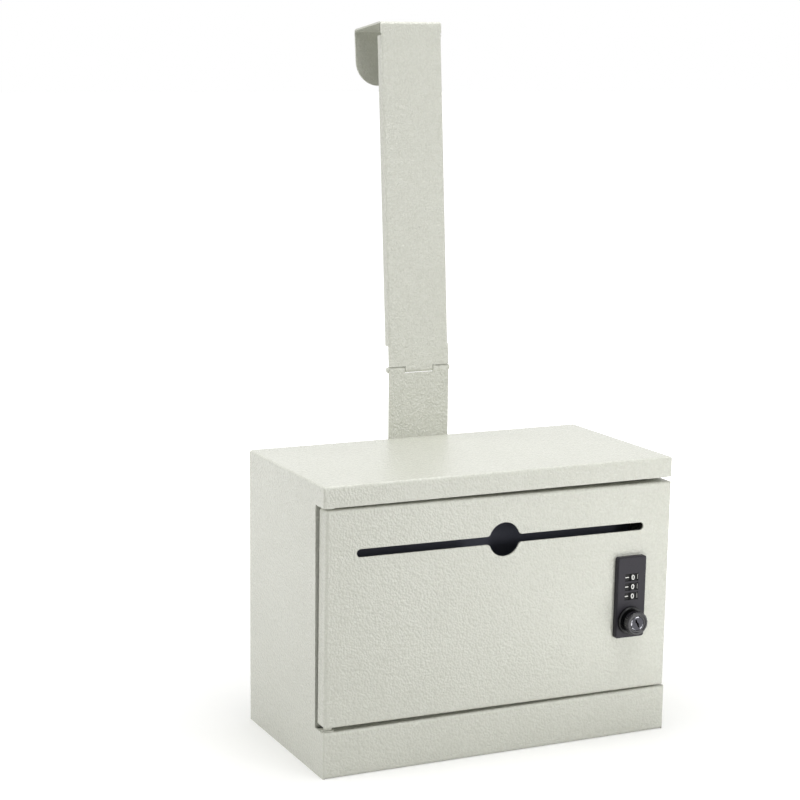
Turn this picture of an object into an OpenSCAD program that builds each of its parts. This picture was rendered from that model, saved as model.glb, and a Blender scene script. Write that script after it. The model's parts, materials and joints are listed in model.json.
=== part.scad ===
// Over-the-door key drop box: a folded steel cabinet with a slotted door, a three-wheel
// combination lock and a folding strap hanger. Millimetres, +Z up, front towards -Y.
// The origin is the middle of the base's underside.

/* [Cabinet] */
// Width over the side panels
box_w = 305; // [295:1:330]
// Depth from the front lip to the back panel
box_d = 153; // [145:1:190]
// Height from the base to the top
box_h = 229; // [220:1:270]
// Thickness of the cabinet and door sheet
sheet_t = 1.5; // [1.2:0.1:1.8]
// Outer radius of the cabinet's long bends
bend_r = 2.4; // [2:0.1:3]
// Height of the lip that hangs over the door
lip_h = 16.5; // [14:0.5:20]
// Height of the plinth below the door
plinth_h = 37; // [30:0.5:44]
// Depth of the returns behind the lip and the plinth
return_w = 13; // [12.5:0.5:14]
// How far the side panels are cut back beside the door
side_cutback = 16; // [15.5:0.5:18]
// Width of the inner flange on each cut-back side edge
jamb_w = 12; // [10:0.5:14]
// Width of the flanges inside the base pan and the back panel
hem_w = 12; // [8:1:16]

/* [Door] */
// Gap between the lip and the door, half way along
door_top_gap = 2.6; // [2.2:0.1:3.2]
// Gap between the plinth and the door, half way along
door_bottom_gap = 2.1; // [1.9:0.1:2.8]
// Gap at the hinge side of the door
hinge_reveal = 1.4; // [1:0.1:1.6]
// Gap at the free side of the door
free_reveal = 0.4; // [0.3:0.1:1.5]
// Depth of the door pan
door_d = 12.5; // [12:0.5:13]
// How far the hung door droops at its free edge, in degrees
door_sag = 0.4; // [0:0.05:0.45]
// Distance of the pivot axis from the side and from the front
pivot_inset = 6.5; // [6.3:0.1:7]
// Radius of the pivot pins
pivot_r = 2.5; // [2:0.1:2.8]
// Radius of the rivet end of the pivot pins
pivot_shank_r = 1.5; // [1.2:0.1:1.6]
// Wall of the pivot bushes
bush_wall = 1.2; // [1:0.1:1.4]

/* [Slot] */
// Length of the slot over its round ends
slot_len = 252.5; // [230:0.5:256]
// Height of the slot
slot_h = 6.5; // [5.5:0.1:8]
// Distance of the slot's middle from the door's top edge
slot_drop = 35; // [32:0.5:38]
// Radius of the round hole in the middle of the slot
hole_r = 13.6; // [11:0.1:15]
// Fillet between the slot and the round hole
slot_fillet = 3.2; // [1.5:0.1:4]
// Thickness of the baffle sheet
baffle_t = 1; // [0.8:0.1:1.5]
// Depth that the baffle leaves for keys behind the door
baffle_depth = 24; // [20:1:28]
// Height of the baffle
baffle_h = 58; // [50:1:64]
// Radius of the baffle's rivets
rivet_r = 1.6; // [1.2:0.1:2]

/* [Lock] */
// Width of the lock's face plate
plate_w = 26.6; // [26:0.1:30]
// Height of the lock's face plate
plate_h = 67; // [64:0.5:72]
// How far the face plate stands off the door
plate_t = 4.5; // [4:0.1:5.5]
// Corner radius of the face plate
plate_r = 2.2; // [1.5:0.1:3]
// Bevel along the face plate's front edge
plate_bevel = 0.8; // [0.4:0.1:1]
// Middle of the lock, from the door's free edge
lock_from_edge = 37; // [34:0.5:45]
// Middle of the lock, below the middle of the door
lock_below_mid = 6.5; // [0:0.5:12]
// Middle of the three windows, from the plate's top
windows_drop = 24.8; // [24:0.1:26]
// Knob axis, from the plate's bottom
knob_rise = 14.3; // [13:0.1:15]
// Radius of the dial wheels
wheel_r = 8; // [7.6:0.1:8.2]
// Width of a dial wheel
wheel_w = 6; // [5.4:0.1:6.3]
// Distance from wheel to wheel
wheel_pitch = 7.8; // [7.4:0.1:8]
// How far the wheels stand proud of the face plate
wheel_proud = 0.3; // [0.1:0.1:0.6]
// Radius of the rod that carries the wheels
dial_rod_r = 1.5; // [1.2:0.1:1.8]
// How far the wheels stand turned from their front at rest, in degrees
dial_set = -7; // [-18:1:18]
// Width of the part of a window that shows the wheel
window_w = 8.4; // [7.6:0.1:8.6]
// Width of the sunk pad beside each wheel that holds its index tick
pad_w = 3.9; // [3:0.1:4]
// Radius of the knob collar
collar_r = 11.6; // [10.8:0.1:12]
// Thickness of the knob collar
collar_t = 2.6; // [2:0.1:3.5]
// Radius of the knob's front
knob_r = 9.6; // [9:0.1:10.5]
// Radius of the knob behind its grip
knob_neck_r = 7.6; // [7:0.1:8.2]
// How far the knob stands off the collar
knob_len = 8.5; // [8:0.5:16]
// Number of grip flutes round the knob
knob_flutes = 24; // [12:1:30]
// Radius of the key core
core_r = 6; // [5:0.1:6.4]
// Radius of the lock spindle
spindle_r = 4.5; // [4:0.1:5]
// Radius of the threaded barrel behind the door
barrel_r = 8; // [7.5:0.1:8.5]
// Cam length from the spindle's axis
cam_len = 31; // [29:0.5:33]
// Cam thickness
cam_t = 2; // [1.5:0.1:2.5]

/* [Hanger] */
// Width of the strap hanger
strap_w = 55; // [45:1:60]
// Thickness of the strap sheet
strap_t = 1.5; // [1.3:0.1:1.6]
// Height of the hinge axis above the box
hinge_rise = 57.8; // [45:0.5:80]
// Outer radius of the hinge knuckles
knuckle_r = 2.6; // [2.5:0.05:2.8]
// Radius of the hinge pin
hinge_pin_r = 1.2; // [1:0.05:1.3]
// Length of the upper strap from the hinge axis to its top
strap_len = 286; // [240:1:320]
// How far the upper strap leans back, in degrees
strap_lean = 4.7; // [0:0.1:8]
// How much further the hook's top plate dips, in degrees
hook_dip = 2; // [0:0.5:4]
// Depth of the stiffening flanges along the upper strap
strap_flange = 7; // [5:0.5:8]
// Clear depth of the hook, for a door leaf
hook_gap = 50; // [40:1:56]
// Length of the hook's return lip
hook_lip = 47; // [40:1:60]
// Corner radius of the return lip
hook_lip_r = 20; // [10:1:22]
// How far the lower strap reaches down the back panel
strap_foot = 78; // [70:1:100]
// Radius of the strap screws
screw_r = 2.5; // [2:0.1:2.5]
// Strap screws: distance across
screw_dx = 30; // [24:1:34]
// Strap screws: distance up and down
screw_dz = 42; // [36:1:50]

/* [Fits] */
// Radial clearance of a pin that turns in its hole
run_fit = 0.06; // [0.04:0.01:0.08]
// Clearance between a moving piece and what it passes
move_gap = 0.3; // [0.25:0.05:0.4]
// Clearance of a fixed piece in its cut-out
fixed_gap = 0.1; // [0.08:0.01:0.15]

/* [Hidden] */
$fn = 64;

// A small overlap that keeps cuts clean, and the play of a piece seated on another
cut = 1;
seat_gap = fixed_gap / 2;
// Front and back planes, and the inner face of the sheet
front_y = -box_d / 2;
back_y = box_d / 2;
side_x = box_w / 2;
wall_x = side_x - sheet_t;
jamb_y = front_y + side_cutback;

// The door pan, before it droops
door_x0 = -side_x + hinge_reveal;
door_x1 = side_x - free_reveal;
door_z0 = plinth_h + door_bottom_gap;
door_z1 = box_h - lip_h - door_top_gap;
door_cx = (door_x0 + door_x1) / 2;
door_cz = (door_z0 + door_z1) / 2;
door_back_y = front_y + door_d;
door_in_y = front_y + sheet_t;
pivot_x = -side_x + pivot_inset;
pivot_y = front_y + pivot_inset;
// Height of the drooping door's edges at the pivot
droop = (door_cx - pivot_x) * sin(door_sag);
pivot_top_z = door_z1 + droop;
pivot_bottom_z = door_z0 + droop;
lip_under_z = box_h - lip_h;
bush_r = pivot_r + run_fit + bush_wall;
bush_rim_r = bush_r + 1.3;
bush_rim_t = 0.8;
bush_len = sheet_t + 1;
rivet_play = 0.15;
// The rivet head of a pivot pin stays clear of the tilted flange beside it and of its bend
bend_in_r = bend_r - sheet_t;
bend_reach = bend_in_r - sqrt(pow(bend_in_r, 2) - pow(max(bend_in_r - rivet_play, 0), 2));
tilt_reach = (door_z1 - door_z0) / 2 * sin(door_sag);
pivot_head_r = pivot_inset - hinge_reveal - sheet_t - tilt_reach - bend_reach - fixed_gap;

// The slot and its baffle
slot_z = door_z1 - slot_drop;
baffle_top_z = door_z1 - sheet_t - 3;
baffle_w = slot_len + 8;
baffle_back_y = door_in_y + baffle_depth;
baffle_step_z = baffle_top_z - 9.6;
baffle_rivet_z = baffle_top_z - 5.3;
rivet_xs = [for (k = [-0.42, 0, 0.42]) door_cx + k * baffle_w];

// The lock, in the door's own place
lock_x = door_x1 - lock_from_edge;
lock_z = door_cz - lock_below_mid;
plate_y = front_y - plate_t;
plate_top_z = lock_z + plate_h / 2;
windows_z = plate_top_z - windows_drop;
knob_z = lock_z - plate_h / 2 + knob_rise;
wheel_x = lock_x + (pad_w + window_w) / 2 - window_w / 2;
wheel_y = plate_y - wheel_proud + wheel_r;
pocket_r = wheel_r + move_gap;
window_h = wheel_w + 2 * fixed_gap;
flange_t = 1.5;
plate_wall = 1.2;
box_wall = 1.5;
spring_t = 0.5;
groove_r = 0.8;
groove_out = 0.3;
wheel_box_y = wheel_y + pocket_r + spring_t + fixed_gap + box_wall;
wheel_box_h = 2 * wheel_pitch + window_h + 2 * box_wall;
wheel_box_hw = pocket_r + box_wall;
barrel_back_y = jamb_y - 0.6;
cam_y = jamb_y + sheet_t + 0.6;
cam_w = 13;
square_end = 6.2;
cam_screw_r = 1.6;
collar_y = plate_y - collar_t;
knob_back_y = collar_y - move_gap;
knob_front_y = knob_back_y - knob_len;
dish_depth = 0.8;
core_len = knob_len - dish_depth - 2.7;
keyway_depth = core_len - 0.8;
core_web = 0.8;
dish_r = knob_r - 1.9;
core_front_y = knob_front_y + dish_depth;
spindle_front_y = core_front_y + core_len + core_web;
lock_screw_z = plate_top_z - 6;
lock_screw_r = 1.5;

// The hanger
hinge_y = back_y + knuckle_r;
hinge_z = box_h + hinge_rise;
knuckle_gap = 0.3;
middle_knuckle = strap_w * 0.47;
plate_clear = knuckle_r + 0.2;
strap_nut_h = 4;
strap_foot_z = box_h - strap_foot;
screws_z = strap_foot_z + 14 + screw_dz / 2;
flange_from = 20;
flange_to = strap_len - 11;
hook_in_r = 1.5;
hook_out_r = hook_in_r + strap_t;

// Extrusions along each axis, from one coordinate to another
module along_x(a, b) translate([a, 0, 0]) rotate([90, 0, 90]) linear_extrude(b - a) children();
module along_y(a, b) translate([0, b, 0]) rotate([90, 0, 0]) linear_extrude(b - a) children();
module along_z(a, b) translate([0, 0, a]) linear_extrude(b - a) children();

// A rod along Y or Z between two coordinates
module rod_y(x, z, a, b, r) translate([x, b, z]) rotate([90, 0, 0]) cylinder(h = b - a, r = r);
module rod_z(x, y, a, b, r) translate([x, y, a]) cylinder(h = b - a, r = r);

// A cross-recessed pan-head screw on the origin, its head up
module pan_screw(head_r, head_h, shank_r, shank_len) difference() {
    wing = head_r * 0.1;
    union() {
        rotate_extrude() polygon([[0, 0], [head_r, 0], [head_r, head_h * 0.4],
                                  [head_r * 0.72, head_h], [0, head_h]]);
        translate([0, 0, -shank_len]) cylinder(h = shank_len + head_h * 0.2, r = shank_r);
    }
    for (a = [0, 90]) rotate(a)
        translate([-head_r / 2, -wing, head_h * 0.45]) cube([head_r, 2 * wing, head_h]);
}

// A hexagon nut on the origin, for a thread of a given radius
module hex_nut(corner_r, h, thread_r) difference() {
    cylinder(h = h, r = corner_r, $fn = 6);
    translate([0, 0, -cut]) cylinder(h = h + 2 * cut, r = thread_r + seat_gap);
}

// What a rounded corner takes away; dx and dy point into the sheet
module sharp_corner(px, py, dx, dy, r) {
    over = 0.01;
    difference() {
        translate([px - (dx < 0 ? r : over), py - (dy < 0 ? r : over)]) square(r + over);
        translate([px + dx * r, py + dy * r]) circle(r);
    }
}

// A rectangle between two corners, with its own radius at each corner:
// lower left, lower right, upper right, upper left
module plate_2d(x0, x1, y0, y1, radii = [0, 0, 0, 0]) {
    difference() {
        translate([x0, y0]) square([x1 - x0, y1 - y0]);
        if (radii[0] > 0) sharp_corner(x0, y0, 1, 1, radii[0]);
        if (radii[1] > 0) sharp_corner(x1, y0, -1, 1, radii[1]);
        if (radii[2] > 0) sharp_corner(x1, y1, -1, -1, radii[2]);
        if (radii[3] > 0) sharp_corner(x0, y1, 1, -1, radii[3]);
    }
}

// A box between two corners
module block(x0, x1, y0, y1, z0, z1) {
    translate([x0, y0, z0]) cube([x1 - x0, y1 - y0, z1 - z0]);
}

// Puts what hangs on the door at the door's droop
module on_door() {
    translate([door_cx, 0, door_cz]) rotate([0, door_sag, 0]) translate([-door_cx, 0, -door_cz])
        children();
}

// Puts what belongs to the upper strap at its lean; inside, the hinge axis is the origin
module on_strap() {
    translate([0, hinge_y, hinge_z]) rotate([-strap_lean, 0, 0]) children();
}

// Cabinet shell: top, sides, lip and jambs, folded from one sheet
module shell_outline(inset) {
    r = bend_r - inset;
    intersection() {
        along_y(front_y + inset, back_y)
            plate_2d(-side_x + inset, side_x - inset, 0, box_h - inset, [0, 0, r, r]);
        along_x(-side_x + inset, side_x - inset)
            plate_2d(front_y + inset, back_y, 0, box_h - inset, [0, 0, 0, r]);
        along_z(0, box_h)
            plate_2d(-side_x + inset, side_x - inset, front_y + inset, back_y,
                     inset > 0 ? [0, 0, 0, 0] : [sheet_t, sheet_t, 0, 0]);
    }
}

module jamb(side) {
    x0 = side < 0 ? -wall_x : wall_x - jamb_w;
    block(x0, x0 + jamb_w, jamb_y, jamb_y + sheet_t, plinth_h, lip_under_z);
}

module cabinet_shell() color([0.83, 0.84, 0.79]) difference() {
    union() {
        difference() {
            shell_outline(0);
            difference() {
                translate([0, 0, -cut]) shell_outline(sheet_t);
                // The lip's return stays
                block(-side_x, side_x, front_y, front_y + return_w,
                      lip_under_z, lip_under_z + sheet_t);
            }
            // Open back, for the back panel
            block(-wall_x, wall_x, back_y - hem_w, back_y + cut, -cut, box_h - sheet_t);
            // Open front, between the plinth and the lip
            block(-side_x - cut, side_x + cut, front_y - cut, jamb_y, plinth_h, lip_under_z);
            // Below the lip, the front belongs to the plinth and the door
            block(-wall_x, wall_x, front_y - cut, front_y + return_w + cut, -cut, lip_under_z);
        }
        jamb(-1);
        jamb(1);
    }
    rod_z(pivot_x, pivot_y, lip_under_z - cut, lip_under_z + sheet_t + cut, bush_r);
}

// Base pan: floor, plinth with its return, and the upturned sides
module base_pan() color([0.83, 0.84, 0.79]) difference() {
    union() {
        along_x(-wall_x, wall_x) difference() {
            plate_2d(front_y, back_y - sheet_t, 0, plinth_h, [bend_r, 0, 0, bend_r]);
            plate_2d(front_y + sheet_t, front_y + return_w, sheet_t, plinth_h - sheet_t,
                     [bend_r - sheet_t, 0, 0, bend_r - sheet_t]);
            translate([front_y + return_w, sheet_t]) square([box_d, plinth_h]);
        }
        for (side = [-1, 1])
            block(side < 0 ? -wall_x : wall_x - sheet_t, side < 0 ? -wall_x + sheet_t : wall_x,
                  front_y + return_w + 2, back_y - hem_w - 1, 0, hem_w);
    }
    rod_z(pivot_x, pivot_y, plinth_h - sheet_t - cut, plinth_h + cut, bush_r);
}

// Back panel: a pan with four flanges that lie on the shell and the floor
module back_panel() color([0.83, 0.84, 0.79]) difference() {
    block(-wall_x, wall_x, back_y - hem_w, back_y, sheet_t, box_h - sheet_t);
    block(-wall_x + sheet_t, wall_x - sheet_t, back_y - hem_w - cut, back_y - sheet_t,
          2 * sheet_t, box_h - 2 * sheet_t);
    // The floor of the base pan reaches the panel
    block(-wall_x - cut, wall_x + cut, back_y - hem_w - cut, back_y - sheet_t, 0, sheet_t);
    for (x = [-1, 1], z = [-1, 1])
        rod_y(x * screw_dx / 2, screws_z + z * screw_dz / 2, back_y - hem_w, back_y + cut,
              screw_r + 2 * fixed_gap);
}

// The outline of the slot and its round hole, round their common middle. The fillets bite
// into their neighbours by a hair, so that no edges merely touch
module slot_2d() {
    half = slot_h / 2;
    end_x = slot_len / 2 - half;
    bite = 0.01;
    fillet_z = half + slot_fillet - bite;
    fillet_x = sqrt(pow(hole_r + slot_fillet - bite, 2) - pow(fillet_z, 2));
    translate([-end_x, -half]) square([2 * end_x, slot_h]);
    for (x = [-end_x, end_x]) translate([x, 0]) circle(half);
    circle(hole_r);
    for (mx = [0, 1], mz = [0, 1]) mirror([mx, 0]) mirror([0, mz]) difference() {
        polygon([[0, 0], [fillet_x, 0], [fillet_x, fillet_z]]);
        translate([fillet_x, fillet_z]) circle(slot_fillet);
    }
}

// Door pan: a face with four flanges and rounded edges
module door_block(inset) {
    r = bend_r - inset;
    x0 = door_x0 + inset;
    x1 = door_x1 - inset;
    z0 = door_z0 + inset;
    z1 = door_z1 - inset;
    y0 = front_y + inset;
    y1 = door_back_y + (inset > 0 ? cut : 0);
    intersection() {
        along_y(y0, y1) plate_2d(x0, x1, z0, z1, [r, r, r, r]);
        along_x(x0, x1) plate_2d(y0, y1, z0, z1, [r, 0, 0, r]);
        along_z(z0, z1) plate_2d(x0, x1, y0, y1, [r, r, 0, 0]);
    }
}

module door_panel() color([0.83, 0.84, 0.79]) difference() {
    on_door() difference() {
        door_block(0);
        door_block(sheet_t);
        translate([door_cx, 0, slot_z]) along_y(front_y - cut, door_in_y + cut) slot_2d();
        // Cut-outs for the lock: wheel box, barrel and upper screw
        block(wheel_x - wheel_box_hw - fixed_gap, wheel_x + wheel_box_hw + fixed_gap,
              front_y - cut, door_in_y + cut,
              windows_z - wheel_box_h / 2 - fixed_gap, windows_z + wheel_box_h / 2 + fixed_gap);
        rod_y(lock_x, knob_z, front_y - cut, door_in_y + cut, barrel_r + fixed_gap);
        rod_y(lock_x, lock_screw_z, front_y - cut, door_in_y + cut, lock_screw_r + fixed_gap);
        for (x = rivet_xs)
            rod_y(x, baffle_rivet_z, front_y + 0.7, door_in_y + cut, rivet_r + seat_gap);
    }
    for (z = [pivot_top_z - sheet_t, pivot_bottom_z + sheet_t])
        rod_z(pivot_x, pivot_y, z - 2, z + 2, pivot_shank_r + fixed_gap);
}

// One pivot pin, standing on the origin: rivet head, shank, shoulder and journal
module pivot_pin(shoulder, journal) {
    head_t = 1.2;
    through = sheet_t + rivet_play;
    translate([0, 0, -through - head_t]) cylinder(h = head_t, r = pivot_head_r);
    translate([0, 0, -through - head_t]) cylinder(h = through + head_t + 0.1, r = pivot_shank_r);
    translate([0, 0, 0.05]) cylinder(h = shoulder - 0.05, r = pivot_r + 0.8);
    translate([0, 0, 0.05]) cylinder(h = shoulder + journal, r = pivot_r);
}

module pivot_pins() color([0.83, 0.84, 0.79]) {
    top_space = lip_under_z - bush_rim_t - pivot_top_z;
    bottom_space = pivot_bottom_z - plinth_h - bush_rim_t;
    journal = bush_rim_t + bush_len + 0.6;
    translate([pivot_x, pivot_y, pivot_top_z])
        pivot_pin(max(top_space - 0.15, 0.1), journal);
    translate([pivot_x, pivot_y, pivot_bottom_z]) mirror([0, 0, 1])
        pivot_pin(bottom_space - 0.1, journal);
}

// One flanged bush, its rim below and its sleeve up through the sheet
module pivot_bush() difference() {
    union() {
        translate([0, 0, -bush_rim_t]) cylinder(h = bush_rim_t, r = bush_rim_r);
        translate([0, 0, -bush_rim_t]) cylinder(h = bush_rim_t + bush_len, r = bush_r);
    }
    translate([0, 0, -bush_rim_t - cut]) cylinder(h = bush_len + 3 * cut, r = pivot_r + run_fit);
}

module pivot_bushes() color([0.79, 0.8, 0.75]) {
    translate([pivot_x, pivot_y, lip_under_z]) pivot_bush();
    translate([pivot_x, pivot_y, plinth_h]) mirror([0, 0, 1]) pivot_bush();
}

// Baffle: riveted inside the door above the slot, standing back over it, then hanging
module baffle_2d() {
    y0 = door_in_y;
    y1 = baffle_back_y;
    polygon([[y0, baffle_top_z], [y0, baffle_step_z], [y1, baffle_step_z],
             [y1, baffle_top_z - baffle_h], [y1 + baffle_t, baffle_top_z - baffle_h],
             [y1 + baffle_t, baffle_step_z + baffle_t], [y0 + baffle_t, baffle_step_z + baffle_t],
             [y0 + baffle_t, baffle_top_z]]);
}

module slot_baffle() color([0.13, 0.13, 0.17]) on_door() difference() {
    along_x(door_cx - baffle_w / 2, door_cx + baffle_w / 2) baffle_2d();
    for (x = rivet_xs)
        rod_y(x, baffle_rivet_z, door_in_y - cut, door_in_y + baffle_t + cut,
              rivet_r + seat_gap);
}

module baffle_rivets() color([0.6, 0.61, 0.62]) on_door() for (x = rivet_xs) {
    head_y = door_in_y + baffle_t;
    rod_y(x, baffle_rivet_z, front_y + 0.75, head_y + 0.1, rivet_r);
    rod_y(x, baffle_rivet_z, head_y, head_y + 1.2, rivet_r * 1.9);
}

// Outline of the face plate, drawn in by an inset
module face_2d(inset) {
    r = max(plate_r - inset, 0.3);
    plate_2d(lock_x - plate_w / 2 + inset, lock_x + plate_w / 2 - inset,
             lock_z - plate_h / 2 + inset, lock_z + plate_h / 2 - inset, [r, r, r, r]);
}

// Heights of the three windows and wheels
function window_zs() = [for (k = [1, 0, -1]) windows_z + k * wheel_pitch];

module lock_face_plate() color([0.25, 0.24, 0.27]) on_door() difference() {
    union() {
        along_y(plate_y + plate_bevel, front_y) face_2d(0);
        along_y(plate_y + plate_bevel / 2, plate_y + plate_bevel) face_2d(plate_bevel * 0.3);
        along_y(plate_y, plate_y + plate_bevel / 2) face_2d(plate_bevel);
    }
    along_y(front_y - flange_t, front_y + cut) face_2d(plate_wall);
    for (z = window_zs()) {
        block(wheel_x - window_w / 2, wheel_x + window_w / 2, plate_y - cut, front_y + cut,
              z - window_h / 2, z + window_h / 2);
        rod_z(wheel_x, wheel_y, z - window_h / 2, z + window_h / 2, pocket_r);
        block(wheel_x - window_w / 2 - pad_w, wheel_x, plate_y - cut, plate_y + 0.7,
              z - window_h / 2, z + window_h / 2);
    }
    rod_y(lock_x, knob_z, plate_y - cut, front_y + cut, spindle_r + move_gap);
}

module index_ticks() color([0.93, 0.93, 0.9]) on_door() for (z = window_zs())
    block(wheel_x - window_w / 2 - pad_w + 0.5, wheel_x - window_w / 2 - 0.4,
          plate_y + 0.5, plate_y + 0.7, z - 0.35, z + 0.35);

// Housing: a flange inside the face plate, the wheel box and the barrel behind the door
module lock_housing() color([0.2, 0.2, 0.21]) on_door() difference() {
    union() {
        along_y(front_y - flange_t, front_y) face_2d(plate_wall + fixed_gap);
        block(wheel_x - wheel_box_hw, wheel_x + wheel_box_hw, front_y - cut, wheel_box_y,
              windows_z - wheel_box_h / 2, windows_z + wheel_box_h / 2);
        rod_y(lock_x, knob_z, front_y - cut, barrel_back_y, barrel_r);
    }
    for (z = window_zs()) rod_z(wheel_x, wheel_y, z - window_h / 2, z + window_h / 2, pocket_r);
    rod_z(wheel_x, wheel_y, windows_z - wheel_box_h / 2 - cut, windows_z + wheel_box_h / 2 + cut,
          dial_rod_r);
    // Room for the detent spring behind the wheels
    block(wheel_x - 3.1, wheel_x + 3.1, wheel_y, wheel_y + pocket_r + spring_t + fixed_gap,
          windows_z - wheel_box_h / 2 + box_wall, windows_z + wheel_box_h / 2 - box_wall);
    rod_y(lock_x, knob_z, front_y - plate_t, barrel_back_y + cut, spindle_r + run_fit);
    rod_y(lock_x, lock_screw_z, front_y - plate_t, front_y + cut, lock_screw_r);
}

// A dial wheel with ten finger grooves between its numbers
module dial_wheel(z) color([0.12, 0.12, 0.13]) on_door() difference() {
    rod_z(wheel_x, wheel_y, z - wheel_w / 2, z + wheel_w / 2, wheel_r);
    rod_z(wheel_x, wheel_y, z - wheel_w, z + wheel_w, dial_rod_r + run_fit);
    for (k = [0 : 9]) translate([wheel_x, wheel_y, z - wheel_w / 2 - cut])
        rotate(36 * k + 18 + dial_set) translate([0, -wheel_r - groove_out, 0])
            cylinder(h = wheel_w + 2 * cut, r = groove_r);
}

module dial_wheel_top() dial_wheel(window_zs()[0]);
module dial_wheel_middle() dial_wheel(window_zs()[1]);
module dial_wheel_bottom() dial_wheel(window_zs()[2]);

module dial_rod() color([0.7, 0.7, 0.7]) on_door()
    rod_z(wheel_x, wheel_y, windows_z - wheel_box_h / 2, windows_z + wheel_box_h / 2, dial_rod_r);

// Detent spring: a leaf with one finger for each wheel
module detent_spring() color([0.75, 0.75, 0.72]) on_door() {
    y0 = wheel_y + pocket_r + fixed_gap;
    z0 = windows_z - wheel_box_h / 2 + box_wall + fixed_gap;
    z1 = windows_z + wheel_box_h / 2 - box_wall - fixed_gap;
    difference() {
        block(wheel_x - 3, wheel_x + 3, y0, y0 + spring_t, z0, z1);
        for (k = [-0.5, 0.5])
            block(wheel_x - 1.8, wheel_x + 4, y0 - cut, y0 + cut,
                  windows_z + k * wheel_pitch - 0.4, windows_z + k * wheel_pitch + 0.4);
    }
}

module knob_collar() color([0.1, 0.1, 0.11]) on_door()
    translate([lock_x, plate_y, knob_z]) rotate([90, 0, 0]) difference() {
        rotate_extrude() polygon([[0, 0], [collar_r, 0], [collar_r, collar_t - 0.9],
                                  [collar_r - 0.9, collar_t], [0, collar_t]]);
        translate([0, 0, -cut]) cylinder(h = collar_t + 2 * cut, r = spindle_r + move_gap);
    }

// Knob: a turned body with a waist behind a fluted grip, a dished face and the core's bore
module knob() color([0.22, 0.22, 0.24]) on_door()
    translate([lock_x, knob_back_y, knob_z]) rotate([90, 0, 0]) difference() {
        waist = knob_len * 0.3;
        rotate_extrude() polygon([
            [0, 0], [knob_neck_r, 0], [knob_neck_r, waist - 1], [knob_r, waist + 1],
            [knob_r, knob_len - 0.9], [knob_r - 0.9, knob_len], [dish_r, knob_len],
            [dish_r - 0.5, knob_len - dish_depth], [0, knob_len - dish_depth]]);
        translate([0, 0, knob_len - dish_depth - core_len - 0.1])
            cylinder(h = core_len + cut, r = core_r + run_fit);
        translate([0, 0, -cut]) cylinder(h = cut + knob_back_y - spindle_front_y, r = spindle_r);
        for (k = [0 : knob_flutes - 1]) rotate(360 / knob_flutes * k)
            translate([knob_r + 0.5, 0, waist + 0.6]) cylinder(h = knob_len, r = 0.8, $fn = 24);
    }

// Key core with its stepped keyway and a bright rim
module key_core() color([0.3, 0.3, 0.32]) on_door()
    translate([lock_x, core_front_y + core_len, knob_z]) rotate([90, 0, 0]) difference() {
        rotate_extrude() polygon([[0, 0], [core_r, 0], [core_r, core_len - 0.4],
                                  [core_r - 0.4, core_len], [0, core_len]]);
        rotate(25) translate([0, 0, core_len - keyway_depth]) {
            translate([-0.6, -3.6, 0]) cube([1.2, 7.2, core_len]);
            translate([-0.3, -1.6, 0]) cube([1.4, 1.6, core_len]);
            translate([-1.1, 1, 0]) cube([1.4, 1.4, core_len]);
        }
    }

// Spindle: round through the lock, square where it carries the cam
module lock_spindle() color([0.68, 0.69, 0.7]) on_door() difference() {
    union() {
        rod_y(lock_x, knob_z, spindle_front_y, cam_y, spindle_r);
        block(lock_x - square_end / 2, lock_x + square_end / 2, cam_y - cut, cam_y + cam_t,
              knob_z - square_end / 2, knob_z + square_end / 2);
    }
    rod_y(lock_x, knob_z, cam_y + cam_t - 8, cam_y + cam_t + cut, cam_screw_r);
}

// Cam: a stamped blade that hangs down when the lock is open
module cam_2d() {
    tip = cam_len - cam_w * 0.4;
    difference() {
        union() {
            circle(cam_w / 2);
            translate([-cam_w * 0.4, -tip]) square([cam_w * 0.8, tip]);
            translate([0, -tip]) circle(cam_w * 0.4);
        }
        translate([-square_end / 2 - fixed_gap / 2, -square_end / 2 - fixed_gap / 2])
            square(square_end + fixed_gap);
    }
}

module lock_cam() color([0.72, 0.73, 0.74]) on_door()
    translate([lock_x, 0, knob_z]) along_y(cam_y, cam_y + cam_t) cam_2d();

module cam_screw() color([0.6, 0.61, 0.62]) on_door()
    translate([lock_x, cam_y + cam_t, knob_z]) rotate([-90, 0, 0])
        pan_screw(4.6, 2.2, cam_screw_r, 7);

// Nut that clamps the barrel to the door, and the screw above the wheel box
module barrel_nut() color([0.66, 0.67, 0.68]) on_door()
    translate([lock_x, door_in_y, knob_z]) rotate([-90, 0, 0])
        hex_nut(barrel_r * 1.42, 3.5, barrel_r);

module lock_screw() color([0.6, 0.61, 0.62]) on_door()
    translate([lock_x, door_in_y, lock_screw_z]) rotate([-90, 0, 0])
        pan_screw(2.8, 1.9, lock_screw_r, sheet_t + flange_t);

// A hinge knuckle along X, its bore left out
module knuckle(x0, x1) translate([x0, 0, 0]) rotate([0, 90, 0])
    cylinder(h = x1 - x0, r = knuckle_r);

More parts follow.
